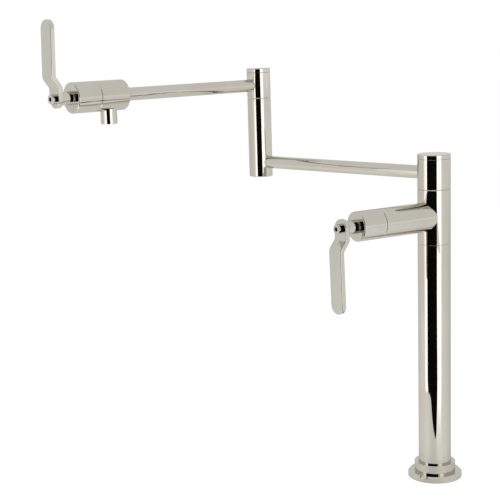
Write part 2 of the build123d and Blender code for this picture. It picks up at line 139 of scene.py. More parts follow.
class PotFillerTrim(bpy.types.PropertyGroup):
    """Colours of the pieces that aren't plated"""
    steel: bpy.props.FloatVectorProperty(
        name="Steel", description="Colour of the stainless screws, clips and washer",
        subtype="COLOR", size=3, min=0, max=1, default=(0.56, 0.55, 0.53))
    brass: bpy.props.FloatVectorProperty(
        name="Brass", description="Colour of the bare machined brass",
        subtype="COLOR", size=3, min=0, max=1, default=(0.60, 0.42, 0.17))
    rubber: bpy.props.FloatVectorProperty(
        name="Rubber", description="Colour of the seals and the deck washer",
        subtype="COLOR", size=3, min=0, max=1, default=(0.022, 0.022, 0.023))
    plastic: bpy.props.FloatVectorProperty(
        name="White plastic", description="Colour of the low friction swivel washers",
        subtype="COLOR", size=3, min=0, max=1, default=(0.70, 0.69, 0.65))
    aerator: bpy.props.FloatVectorProperty(
        name="Aerator plastic", description="Colour of the moulded aerator housing",
        subtype="COLOR", size=3, min=0, max=1, default=(0.035, 0.035, 0.037))
    ceramic: bpy.props.FloatVectorProperty(
        name="Ceramic", description="Colour of the lapped valve discs",
        subtype="COLOR", size=3, min=0, max=1, default=(0.76, 0.74, 0.69))


class PotFillerThreads(bpy.types.PropertyGroup):
    """Sizes of the threads and of the spout's wire screen"""
    pitch: bpy.props.FloatProperty(
        name="Shank pitch", description="Pitch of the thread on the shank",
        subtype="DISTANCE", min=0.0005, max=0.005, precision=5, default=0.002)
    depth: bpy.props.FloatProperty(
        name="Shank depth", description="Depth of the thread on the shank",
        subtype="DISTANCE", min=0.0001, max=0.003, precision=5, default=0.0010)
    inlet_pitch: bpy.props.FloatProperty(
        name="Inlet pitch", description="Pitch of the supply hose thread",
        subtype="DISTANCE", min=0.0005, max=0.005, precision=5, default=0.00181)
    inlet_depth: bpy.props.FloatProperty(
        name="Inlet depth", description="Depth of the supply hose thread",
        subtype="DISTANCE", min=0.0001, max=0.003, precision=5, default=0.0009)
    wire: bpy.props.FloatProperty(
        name="Screen wire", description="Thickness of the wires in the spout screen",
        subtype="DISTANCE", min=0.0001, max=0.001, precision=5, default=0.00026)
    mesh: bpy.props.FloatProperty(
        name="Screen mesh", description="Distance between the wires in the spout screen",
        subtype="DISTANCE", min=0.0004, max=0.005, precision=5, default=0.0009)


class PotFillerFittings(bpy.types.PropertyGroup):
    """Sizes of the hub rings, the hex sockets and the base flange's edges"""
    ring_height: bpy.props.FloatProperty(
        name="Hub ring", description="Height of the fine ring round a lever hub where it enters its bonnet",
        subtype="DISTANCE", min=0.0002, max=0.003, precision=5, default=0.0011)
    ring_width: bpy.props.FloatProperty(
        name="Hub ring width", description="How far the fine ring stands out from the hub",
        subtype="DISTANCE", min=0.0001, max=0.002, precision=5, default=0.0007)
    key: bpy.props.FloatProperty(
        name="Hex key", description="Size across flats of the hex socket in a lever screw",
        subtype="DISTANCE", min=0.001, max=0.01, precision=5, default=0.00498)
    key_depth: bpy.props.FloatProperty(
        name="Hex key depth", description="Depth of the hex socket in a lever screw",
        subtype="DISTANCE", min=0.001, max=0.01, precision=5, default=0.00318)
    # Painted shade: a near-black colour for the cup in each hex socket, where shade falls deep inside
    socket_shade: bpy.props.FloatVectorProperty(
        name="Black oxide", description="Colour of the dark cup that paints the shade deep in the hex sockets",
        subtype="COLOR", size=3, min=0, max=1, default=(0.010, 0.010, 0.011))
    bevel: bpy.props.FloatProperty(
        name="Flange bevel", description="Size of the bevel round the top of the base flange",
        subtype="DISTANCE", min=0.0005, max=0.005, precision=5, default=0.0024)
    rounding: bpy.props.FloatProperty(
        name="Flange rounding", description="Radius that polishing leaves on the edges of the base flange",
        subtype="DISTANCE", min=0.00005, max=0.001, precision=5, default=0.0003)


class PotFillerStudio(bpy.types.PropertyGroup):
    """The floor and the lights"""
    floor: bpy.props.FloatVectorProperty(
        name="Floor", description="Colour of the floor", subtype="COLOR", size=3, min=0, max=1,
        default=(0.90, 0.90, 0.90))
    ambient: bpy.props.FloatProperty(
        name="Ambient", description="Strength of the soft light from all around", min=0, max=2, default=0.62)
    side: bpy.props.FloatProperty(
        name="Side lights", description="Brightness of the two tall soft lights", min=0, max=10,
        default=2.3)
    overhead: bpy.props.FloatProperty(
        name="Overhead", description="Brightness of the overhead light", min=0, max=10, default=1.1)
    panel: bpy.props.FloatProperty(
        name="Panels", description="Brightness of the two panels that the metal reflects", min=0, max=10,
        default=2.1)
    glow: bpy.props.FloatProperty(
        name="Floor glow", description="Brightness that makes the unshaded floor as white as the background",
        min=0, max=2, default=1.09)


# Shader building

def fill_inputs(tree, node, inputs):
    """Gives each input of a node its value, or a link from the output of another node."""
    for socket, value in inputs.items():
        if isinstance(value, bpy.types.NodeSocket):
            tree.links.new(value, node.inputs[socket])
        else:
            node.inputs[socket].default_value = value


def add_node(tree, kind, inputs, **settings):
    """A new node with its inputs and settings."""
    node = tree.nodes.new(kind)
    for name, value in settings.items():
        setattr(node, name, value)
    fill_inputs(tree, node, inputs)
    return node


def noise(tree, place, scale, detail, roughness, distortion=0.0):
    """The value of a noise at a place."""
    node = add_node(tree, "ShaderNodeTexNoise", {
        "Vector": place, "Scale": scale, "Detail": detail, "Roughness": roughness, "Distortion": distortion})
    return node.outputs["Fac"]


def smooth_step(tree, value, start, end, first=0.0, last=1.0):
    """A smooth change from first to last while a value goes from start to end."""
    node = add_node(tree, "ShaderNodeMapRange", {
        "Value": value, "From Min": start, "From Max": end, "To Min": first, "To Max": last,
    }, interpolation_type="SMOOTHSTEP")
    return node.outputs["Result"]


def maths(tree, operation, *values):
    """The result of a calculation with numbers and the outputs of other nodes."""
    return add_node(tree, "ShaderNodeMath", dict(enumerate(values)), operation=operation).outputs[0]


def length(tree, vector):
    """The length of a vector."""
    return add_node(tree, "ShaderNodeVectorMath", {0: vector}, operation="LENGTH").outputs["Value"]


def mix_values(tree, factor, first, second):
    """A value that goes from first to second with a factor."""
    node = add_node(
        tree, "ShaderNodeMix", {"Factor": factor, "A": first, "B": second}, data_type="FLOAT")
    return node.outputs["Result"]


def new_group(name, inputs, outputs):
    """An empty shader node group with named inputs (with their defaults) and outputs."""
    tree = bpy.data.node_groups.new(name, "ShaderNodeTree")
    for label, kind, default in inputs:
        socket = tree.interface.new_socket(label, in_out="INPUT", socket_type=kind)
        socket.default_value = default
    for label, kind in outputs:
        tree.interface.new_socket(label, in_out="OUTPUT", socket_type=kind)
    return tree, tree.nodes.new("NodeGroupInput"), tree.nodes.new("NodeGroupOutput")


def polish_group():
    """Slow waves, fine lines round the part and handling marks of a polished metal."""
    tree, given, result = new_group(
        "Hand polish",
        [("Position", "NodeSocketVector", (0, 0, 0)), ("Clean", "NodeSocketFloat", 0.04),
         ("Marked", "NodeSocketFloat", 0.05)],
        [("Roughness", "NodeSocketFloat"), ("Height", "NodeSocketFloat"), ("Patches", "NodeSocketFloat")])
    place = given.outputs["Position"]
    stretch = add_node(tree, "ShaderNodeMapping", {"Vector": place, "Scale": (25.0, 25.0, 2400.0)})
    lines = noise(tree, stretch.outputs["Vector"], scale=1.0, detail=3.0, roughness=0.6)
    line_roughness = 0.018
    clean = maths(tree, "MULTIPLY_ADD", lines, line_roughness, given.outputs["Clean"])
    marks = noise(tree, place, scale=130.0, detail=5.0, roughness=0.62, distortion=0.6)
    smudge = smooth_step(tree, marks, start=0.52, end=0.74)
    added = maths(tree, "MULTIPLY", smudge, given.outputs["Marked"])
    tint = noise(tree, place, scale=22.0, detail=2.0, roughness=0.5)
    fill_inputs(tree, result, {
        "Roughness": maths(tree, "ADD", added, clean),
        "Height": noise(tree, place, scale=55.0, detail=1.5, roughness=0.35),
        "Patches": smooth_step(tree, tint, start=0.38, end=0.62),
    })


def grain_group():
    """Even fine grain and a mask of specks, for cut, moulded and lapped surfaces."""
    tree, given, result = new_group(
        "Fine grain",
        [("Position", "NodeSocketVector", (0, 0, 0)), ("Scale", "NodeSocketFloat", 900.0),
         ("Roughness", "NodeSocketFloat", 0.4), ("Variation", "NodeSocketFloat", 0.1)],
        [("Roughness", "NodeSocketFloat"), ("Height", "NodeSocketFloat"), ("Specks", "NodeSocketFloat")])
    place = given.outputs["Position"]
    grain = noise(tree, place, given.outputs["Scale"], detail=4.0, roughness=0.6)
    centred = maths(tree, "SUBTRACT", grain, 0.5)
    coarse = noise(tree, place, scale=160.0, detail=6.0, roughness=0.7)
    fill_inputs(tree, result, {
        "Roughness": maths(
            tree, "MULTIPLY_ADD", centred, given.outputs["Variation"], given.outputs["Roughness"]),
        "Height": grain,
        "Specks": smooth_step(tree, coarse, start=0.45, end=0.72),
    })


def room_group():
    """Brightness of the surroundings by bearing: on the table, in the pale room behind it, and even high up.

    The place is a point on the table in metres, or a direction of length one. Far blends from table to room.
    Close round the object's foot the table is darker, a painted shade.
    """
    tree, given, result = new_group(
        "Pale room", [("Place", "NodeSocketVector", (0, 0, 1)), ("Far", "NodeSocketFloat", 0.0)],
        [("Brightness", "NodeSocketFloat")])
    place = given.outputs["Place"]
    unit = add_node(tree, "ShaderNodeVectorMath", {0: place}, operation="NORMALIZE")
    parts = add_node(tree, "ShaderNodeSeparateXYZ", {0: unit.outputs["Vector"]})
    bearing = maths(tree, "ARCTAN2", parts.outputs["Y"], parts.outputs["X"])
    share = add_node(tree, "ShaderNodeMapRange", {
        "Value": bearing, "From Min": -math.pi, "From Max": math.pi}).outputs["Result"]
    low = mix_values(
        tree, given.outputs["Far"], tones(tree, share, TABLE_TONES), tones(tree, share, ROOM_TONES))
    high = 0.91
    high_up = smooth_step(tree, parts.outputs["Z"], start=-0.03, end=0.12)
    # Painted shade: the table that the metal shows is darker close round the object's foot
    painted_foot_shade = smooth_step(tree, length(tree, place), start=0.05, end=0.14, first=0.84)
    total = maths(tree, "MULTIPLY", mix_values(tree, high_up, low, high), painted_foot_shade)
    fill_inputs(tree, result, {"Brightness": total})


def tones(tree, share, stops):
    """A brightness that follows the bearing, from (bearing in degrees, share of white) stops.

    The ramp holds half of each brightness, because a colour stop goes no higher than one.
    """
    ramp = add_node(tree, "ShaderNodeValToRGB", {"Fac": share})
    ramp.color_ramp.interpolation = "EASE"
    elements = ramp.color_ramp.elements
    while len(elements) > 1:
        elements.remove(elements[-1])
    for index, (angle, level) in enumerate(stops):
        place = (angle + 180) / 360
        element = elements[0] if index == 0 else elements.new(place)
        element.position = place
        element.color = (level / 2, level / 2, level / 2, 1)
    return maths(tree, "MULTIPLY", ramp.outputs["Color"], 2.0)


def place_group(tree, name, inputs):
    """A node that uses the shared group of this name, with its own inputs."""
    return add_node(tree, "ShaderNodeGroup", inputs, node_tree=bpy.data.node_groups[name])


def level_axis(azimuth):
    """The level direction at an azimuth in degrees."""
    angle = math.radians(azimuth)
    return Vector((math.cos(angle), math.sin(angle), 0))


def part_position(tree, azimuth):
    """Coordinates on the part, with Z along its axis: upright, or level at an azimuth in degrees."""
    place = tree.nodes.new("ShaderNodeTexCoord").outputs["Object"]
    if azimuth is None:
        return place
    rotation = level_axis(azimuth).rotation_difference(Vector((0, 0, 1))).to_euler()
    return add_node(tree, "ShaderNodeMapping", {"Vector": place, "Rotation": rotation}).outputs["Vector"]


def blend_colours(tree, mask, first, second):
    """A colour that goes from first to second with a mask."""
    mix = add_node(tree, "ShaderNodeMix", {"Factor": mask}, data_type="RGBA")
    sockets = [socket for socket in mix.inputs if socket.type == "RGBA"]
    sockets[0].default_value = (*first, 1)
    sockets[1].default_value = (*second, 1)
    return next(socket for socket in mix.outputs if socket.type == "RGBA")


def surface(name):
    """A new material, with its node tree and its Principled shader."""
    material = bpy.data.materials.new(name)
    material.use_nodes = True
    return material, material.node_tree, material.node_tree.nodes["Principled BSDF"]


def bump(tree, height, distance, strength):
    """The normal of a surface that a height makes uneven."""
    node = add_node(
        tree, "ShaderNodeBump", {"Height": height, "Distance": distance, "Strength": strength})
    return node.outputs["Normal"]


def polished_metal(name, azimuth, colour, shade, edge, roughness, marks, waviness):
    """Bright polished metal whose fine lines run round the part's axis."""
    material, tree, shader = surface(name)
    polish = place_group(tree, "Hand polish", {
        "Position": part_position(tree, azimuth), "Clean": roughness, "Marked": marks})
    fill_inputs(tree, shader, {
        "Base Color": blend_colours(tree, polish.outputs["Patches"], colour, shade),
        "Metallic": 1.0,
        "Roughness": polish.outputs["Roughness"],
        "Specular Tint": (*edge, 1),
        "Normal": bump(tree, polish.outputs["Height"], waviness, strength=1.0),
    })
    return material


def grained(name, colour, specks, metallic, roughness, variation, scale, distance):
    """Cut, moulded or lapped surface with an even grain, and specks at a share of its brightness."""
    material, tree, shader = surface(name)
    grain = place_group(tree, "Fine grain", {
        "Position": part_position(tree, None), "Scale": scale, "Roughness": roughness,
        "Variation": variation})
    fill_inputs(tree, shader, {
        "Base Color": blend_colours(tree, grain.outputs["Specks"], colour, shaded(colour, specks)),
        "Metallic": metallic,
        "Roughness": grain.outputs["Roughness"],
        "Normal": bump(tree, grain.outputs["Height"], distance, strength=0.6),
    })
    return material


def shaded(colour, share):
    """The colour at a share of its brightness."""
    return tuple(share * value for value in colour)


def finish(material, *names):
    """Gives a material to CAD nodes by name."""
    for name in names:
        piece = bpy.data.objects[name]
        piece.data.materials.clear()
        piece.data.materials.append(material)


# Mesh building

def turned(name, rings, segments):
    """A closed turned piece about Z, from rings of (height, radius).

    A radius is a number, or a function of the height and the angle.
    """
    vertices, faces = [], []
    for height, radius in rings:
        for step in range(segments):
            angle = math.tau * step / segments
            reach = radius(height, angle) if callable(radius) else radius
            vertices.append((reach * math.cos(angle), reach * math.sin(angle), height))
    count = len(rings)
    for index in range(count):
        for step in range(segments):
            here, there = index * segments, (index + 1) % count * segments
            following = (step + 1) % segments
            faces.append((here + step, there + step, there + following, here + following))
    return new_piece(name, vertices, faces)


def rounded(profile):
    """Rings for a profile of (height, radius, rounding).

    A narrow band beside each curve keeps the flats flat.
    """
    band, steps = 0.0001, 4
    rings = []
    for index, (height, reach, rounding) in enumerate(profile):
        if not rounding:
            rings.append((height, reach))
            continue
        corner = Vector((height, reach))
        before = (Vector(profile[index - 1][:2]) - corner).normalized()
        after = (Vector(profile[(index + 1) % len(profile)][:2]) - corner).normalized()
        cut = rounding * math.tan((math.pi - before.angle(after)) / 2)
        start, end = corner + cut * before, corner + cut * after
        rings.append(tuple(start + band * before))
        for step in range(steps + 1):
            share = step / steps
            rings.append(tuple(start.lerp(corner, share).lerp(corner.lerp(end, share), share)))
        rings.append(tuple(end + band * after))
    return rings


def show_turned(name, rings, material, node, segments):
    """Builds a turned piece on the column and shows it in place of its CAD node."""
    piece = turned(name, rings, segments)
    piece.data.materials.append(material)
    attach(piece, "column")
    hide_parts(node)


def new_piece(name, vertices, faces):
    """A mesh object, smooth between its real edges."""
    mesh = bpy.data.meshes.new(name)
    mesh.from_pydata(vertices, [], faces)
    mesh.validate()
    mesh.shade_smooth()
    mesh.set_sharp_from_angle(angle=SHARP_ANGLE)
    piece = bpy.data.objects.new(name, mesh)
    bpy.context.scene.collection.objects.link(piece)
    return piece


def screw_thread(crest, pitch, depth, low, high):
    """Radius of a screw thread with flat roots and crests, which runs out at both ends."""
    root, flank = 0.14, 0.72

    def radius(height, angle):
        ridge = abs(2 * ((height / pitch - angle / math.tau) % 1) - 1)
        rise = min(1, max(0, (ridge - root) / flank))
        run_out = min(1, (height - low) / pitch, (high - height) / pitch)
        return crest - depth * (1 - rise) * max(0, run_out)
    return radius


def hexagonal(across_flats, low, high, bevel):
    """Radius of a hexagon with its corners turned off at both ends."""
    slope = 1.9

    def radius(height, angle):
        corner = across_flats / 2 / math.cos(angle % (math.pi / 3) - math.pi / 6)
        limit = across_flats / 2 - bevel + slope * min(height - low, high - height)
        return min(corner, limit)
    return radius


def thread_rings(crest, pitch, depth, low, high):
    """Rings of a screw thread from its top down, eight to a turn."""
    thread = screw_thread(crest, pitch, depth, low, high)
    steps = max(1, round(8 * (high - low) / pitch))
    return [(low + (high - low) * step / steps, thread) for step in reversed(range(steps + 1))]


# Operators, one to a group of pieces

class POTFILLER_OT_nickel(bpy.types.Operator):
    """Give every plated piece its polished nickel, with polishing lines round its own axis"""
    bl_idname = "potfiller.nickel"
    bl_label = "Polished nickel"

    def execute(self, context):
        look = context.scene.potfiller_nickel
        polish_group()

        def nickel(name, azimuth):
            """The plate of the pieces that share an axis."""
            return polished_metal(name, azimuth, look.colour, look.shade, look.edge,
                                  look.roughness, look.marks, look.waviness)

        finish(nickel("Polished nickel, upright", None),
               "escutcheon", "base_collar", "column_tube", "valve_block", "column_head", "column_cap",
               "elbow_lower_post", "elbow_head", "elbow_cap", "outlet_tube")
        finish(nickel("Polished nickel, valve", VALVE_AZIMUTH),
               "valve_barrel", "column_bonnet", "column_lever_hub")
        finish(nickel("Polished nickel, lower arm", LOWER_ARM_AZIMUTH), "lower_arm_tube")
        finish(nickel("Polished nickel, spout", SPOUT_AZIMUTH),
               "upper_arm_tube", "spout_body", "spout_bonnet", "spout_lever_hub")
        finish(nickel("Polished nickel, levers", None), "column_lever", "spout_lever")
        return {"FINISHED"}


class POTFILLER_OT_trim(bpy.types.Operator):
    """Give the screws, brass, steel, rubber, plastic and ceramic pieces their materials"""
    bl_idname = "potfiller.trim"
    bl_label = "Screws, brass, seals and discs"

    def execute(self, context):
        look = context.scene.potfiller_trim
        grain_group()
        bright = polished_metal(
            "Polished steel", None, look.steel, shaded(look.steel, 0.94), edge=(0.9, 0.9, 0.9),
            roughness=0.06, marks=0.05, waviness=0.000004)
        finish(bright, "column_lever_screw", "spout_lever_screw")
        steel = grained(
            "Stainless steel", look.steel, specks=0.86, metallic=1.0,
            roughness=0.26, variation=0.14, scale=1400.0, distance=0.000006)
        finish(steel, "deck_steel_washer", "column_retaining_clip", "elbow_retaining_clip", "supply_tube",
               "aerator_screen")
        brass = grained(
            "Machined brass", look.brass, specks=0.72, metallic=1.0,
            roughness=0.24, variation=0.16, scale=1100.0, distance=0.000008)
        finish(brass, "threaded_shank", "shank_locknut", "inlet_adapter", "column_swivel_post",
               "elbow_swivel_post", "column_cartridge_body", "spout_cartridge_body", "column_valve_stem",
               "spout_valve_stem")
        rubber = grained(
            "Black rubber", look.rubber, specks=2.1, metallic=0.0,
            roughness=0.62, variation=0.18, scale=1700.0, distance=0.00002)
        finish(rubber, "deck_gasket", "deck_rubber_washer", "inlet_seal", "supply_tube_seals",
               "column_cartridge_seal", "spout_cartridge_seal", "column_stem_seal", "spout_stem_seal",
               "column_swivel_seals", "elbow_swivel_seals")
        plastic = grained(
            "White plastic", look.plastic, specks=0.9, metallic=0.0,
            roughness=0.46, variation=0.1, scale=900.0, distance=0.00001)
        finish(plastic, "column_thrust_washer", "elbow_thrust_washer")
        moulded = grained(
            "Black moulded plastic", look.aerator, specks=1.6, metallic=0.0,
            roughness=0.38, variation=0.12, scale=1300.0, distance=0.00001)
        finish(moulded, "aerator_housing")
        ceramic = grained(
            "Lapped ceramic", look.ceramic, specks=0.93, metallic=0.0,
            roughness=0.12, variation=0.06, scale=2000.0, distance=0.000002)
        finish(ceramic, "column_fixed_disc", "column_moving_disc", "spout_fixed_disc", "spout_moving_disc")
        return {"FINISHED"}


class POTFILLER_OT_threads(bpy.types.Operator):
    """Cut the screw threads and turned hexagons of the shank, its locknut and the inlet"""
    bl_idname = "potfiller.threads"
    bl_label = "Threads below the deck"

    def execute(self, context):
        size = context.scene.potfiller_threads
        brass = bpy.data.materials["Machined brass"]
        self.shank(size, brass)
        self.locknut(brass)
        self.inlet(size, brass)
        return {"FINISHED"}

    def shank(self, size, brass):
        """The shank: its thread below a plain neck, with a seat for the supply tube and one for the inlet."""
        low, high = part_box("threaded_shank")
        crest, neck, neck_end = 0.0155, 0.016, -0.025
        inlet_bore, inlet_depth = 0.009, 0.01
        waterway, tube_seat, tube_bore = 0.006, -0.012, 0.00705
        rings = [(high.z, tube_bore), (high.z, crest), (0.0, crest), (0.0, neck), (neck_end, neck)]
        rings += thread_rings(crest, size.pitch, size.depth, low.z + THREAD_TIP, neck_end)
        rings += [(low.z, crest - THREAD_TIP), (low.z, inlet_bore)]
        rings += [(low.z + inlet_depth, inlet_bore), (low.z + inlet_depth, waterway)]
        rings += [(tube_seat, waterway), (tube_seat, tube_bore)]
        show_turned("shank_with_thread", rings, brass, "threaded_shank", segments=72)

    def locknut(self, brass):
        """The locknut: a hexagon with its corners and the ends of its hole turned off."""
        low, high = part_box("shank_locknut")
        hole, edge, corner_end = 0.01555, 0.0012, 0.0022
        flats = hexagonal(high.y - low.y, low.z, high.z, bevel=0.0004)
        rings = [(high.z, hole + edge), (high.z, flats), (high.z - edge, flats), (high.z - corner_end, flats)]
        rings += [(low.z + corner_end, flats), (low.z + edge, flats), (low.z, flats), (low.z, hole + edge)]
        rings += [(low.z + edge, hole), (high.z - edge, hole)]
        show_turned("locknut_turned", rings, brass, "shank_locknut", segments=96)

    def inlet(self, size, brass):
        """The inlet: its thread for the supply hose, its hexagon, and the spigot that enters the shank."""
        low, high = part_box("inlet_adapter")
        crest, bore, spigot = 0.0104, 0.0065, 0.00898
        hex_foot, hex_top, edge = 0.015, 0.021, 0.0014
        hex_low, hex_high = low.z + hex_foot, low.z + hex_top
        flats = hexagonal(high.y - low.y, hex_low, hex_high, bevel=0.0003)
        rings = [(high.z, bore), (high.z, spigot), (hex_high, spigot), (hex_high, flats)]
        rings += [(hex_high - edge, flats), (hex_low + edge, flats), (hex_low, flats), (hex_low, crest)]
        rings += thread_rings(crest, size.inlet_pitch, size.inlet_depth, low.z + THREAD_TIP, hex_low)
        rings += [(low.z, crest - THREAD_TIP), (low.z, bore)]
        show_turned("inlet_with_thread", rings, brass, "inlet_adapter", segments=72)


class POTFILLER_OT_flange(bpy.types.Operator):
    """Turn the base flange, with its polished edges rounded off and a groove for the gasket below"""
    bl_idname = "potfiller.flange"
    bl_label = "Base flange"

    def execute(self, context):
        size = context.scene.potfiller_fittings
        low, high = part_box("escutcheon")
        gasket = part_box("deck_gasket")[1]
        top, reach = high.z, high.x
        hole, groove_in, groove_out, groove_top = 0.021, 0.024, gasket.x, gasket.z
        rings = rounded([
            (top, hole, 0),
            (top, reach - size.bevel, size.rounding),
            (top - size.bevel, reach, size.rounding),
            (low.z, reach, size.rounding / 3),
            (low.z, groove_out, 0),
            (groove_top, groove_out, 0),
            (groove_top, groove_in, 0),
            (low.z, groove_in, 0),
            (low.z, hole, 0),
        ])
        show_turned("flange_turned", rings, bpy.data.materials["Polished nickel, upright"],
                    "escutcheon", segments=288)
        return {"FINISHED"}


class POTFILLER_OT_screen(bpy.types.Operator):
    """Weave the wire screen of the spout"""
    bl_idname = "potfiller.screen"
    bl_label = "Spout screen"

    def execute(self, context):
        size = context.scene.potfiller_threads
        low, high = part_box("aerator_screen")
        clearance = 0.0001
        reach = (high.x - low.x) / 2 - clearance
        count = int(reach / size.mesh)
        vertices, faces = [], []
        for turn in (0, 1):
            for line in range(-count, count + 1):
                self.wire(vertices, faces, size, (low + high) / 2, reach, line, turn)
        piece = new_piece("spout_wire_screen", vertices, faces)
        piece.data.materials.append(bpy.data.materials["Stainless steel"])
        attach(piece, "upper_arm")
        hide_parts("aerator_screen")
        return {"FINISHED"}

    def wire(self, vertices, faces, size, centre, reach, line, turn):
        """Adds one wire of the screen, which goes over and under the wires that cross it."""
        radius, sides = size.wire / 2, 6
        offset = line * size.mesh
        half = math.sqrt(max(0, reach ** 2 - offset ** 2))
        steps = max(4, round(4 * half / size.mesh))
        sign = 1 if (line + turn) % 2 else -1
        start = len(vertices)
        for step in range(steps + 1):
            along = -half + 2 * half * step / steps
            rise = sign * radius * math.cos(math.pi * along / size.mesh)
            for corner in range(sides):
                angle = math.tau * corner / sides
                side = offset + radius * math.cos(angle)
                height = rise + radius * math.sin(angle)
                x, y = (along, side) if turn else (side, along)
                vertices.append((centre.x + x, centre.y + y, centre.z + height))
        for step in range(steps):
            here = start + sides * step
            there = here + sides
            for corner in range(sides):
                following = (corner + 1) % sides
                faces.append((here + corner, here + following, there + following, there + corner))
        faces.append(tuple(start + corner for corner in range(sides)))
        faces.append(tuple(start + sides * steps + corner for corner in reversed(range(sides))))


class POTFILLER_OT_fittings(bpy.types.Operator):
    """Fit a fine ring round each lever hub at its bonnet, and line each lever screw's hex socket with a dark
    cup of painted shade
    """
    bl_idname = "potfiller.fittings"
    bl_label = "Lever hub rings and hex sockets"

    def execute(self, context):
        size = context.scene.potfiller_fittings
        # Painted shade: the near-black material of the cups that stand in the hex sockets
        socket_shade = grained(
            "Black oxide", size.socket_shade, specks=2.0, metallic=0.0,
            roughness=0.5, variation=0.2, scale=1600.0, distance=0.000004)
        for name, azimuth, post, still, moving, plate in (
                ("column", VALVE_AZIMUTH, "column_cap", "column", "column_lever", "Polished nickel, valve"),
                ("spout", SPOUT_AZIMUTH, "elbow_cap", "upper_arm", "spout_lever", "Polished nickel, spout")):
            self.ring(name, size, self.outer_end(name + "_bonnet", azimuth, post), still,
                      bpy.data.materials[plate])
            self.socket_shade_cup(name, size, self.outer_end(name + "_lever_screw", azimuth, post), moving, socket_shade)
        return {"FINISHED"}

    def outer_end(self, node, azimuth, post):
        """Placement at the outer end of a level node that points away from a post: Z along it, X up."""
        axis, up = level_axis(azimuth), Vector((0, 0, 1))
        low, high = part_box(post)
        foot = (low + high) / 2
        low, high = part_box(node)
        foot.z = (low.z + high.z) / 2
        reach = max(axis.dot(vertex.co - foot) for vertex in bpy.data.objects[node].data.vertices)
        placement = Matrix((up, axis.cross(up), axis)).transposed().to_4x4()
        placement.translation = foot + reach * axis
        return placement

    def ring(self, name, size, placement, body, material):
        """A fine rounded ring that lies on the bonnet's face round the hub."""
        bore, steps = 0.0081, 10
        half = size.ring_height / 2
        rings = [(0.0, bore), (size.ring_height, bore)]
        for step in range(steps + 1):
            angle = math.pi * step / steps
            reach = bore + size.ring_width - half + half * math.sin(angle)
            rings.append((half + half * math.cos(angle), reach))
        piece = turned(name + "_hub_ring", rings, segments=96)
        piece.data.transform(placement)
        piece.data.materials.append(material)
        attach(piece, body)

    def socket_shade_cup(self, name, size, placement, body, material):
        """A dark cup of painted shade that stands just inside the hex socket, with a wall and a drilled
        bottom.
        """
        edge, slope, wall = 0.0002, 0.0001, 0.00022
        drilled_edge, drilled_point = 0.0006, 0.0001
        inner = size.key - 2 * wall
        vertices, faces = [], []
        for flats, height in (
                (size.key, -edge), (size.key, -size.key_depth),
                (inner, -edge - slope), (inner, drilled_edge - size.key_depth)):
            for corner in range(6):
                angle = math.tau * corner / 6
                reach = flats / 2 / math.cos(math.pi / 6)
                vertices.append((reach * math.cos(angle), reach * math.sin(angle), height))
        vertices.append((0, 0, drilled_point - size.key_depth))
        for corner in range(6):
            following = (corner + 1) % 6
            faces.append((corner, 6 + corner, 6 + following, following))
            faces.append((12 + corner, corner, following, 12 + following))
            faces.append((18 + corner, 12 + corner, 12 + following, 18 + following))
            faces.append((24, 18 + corner, 18 + following))
        faces.append(tuple(reversed(range(6, 12))))
        piece = new_piece(name + "_painted_socket_shade", vertices, faces)
        piece.data.transform(placement)
        piece.data.materials.append(material)
        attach(piece, body)


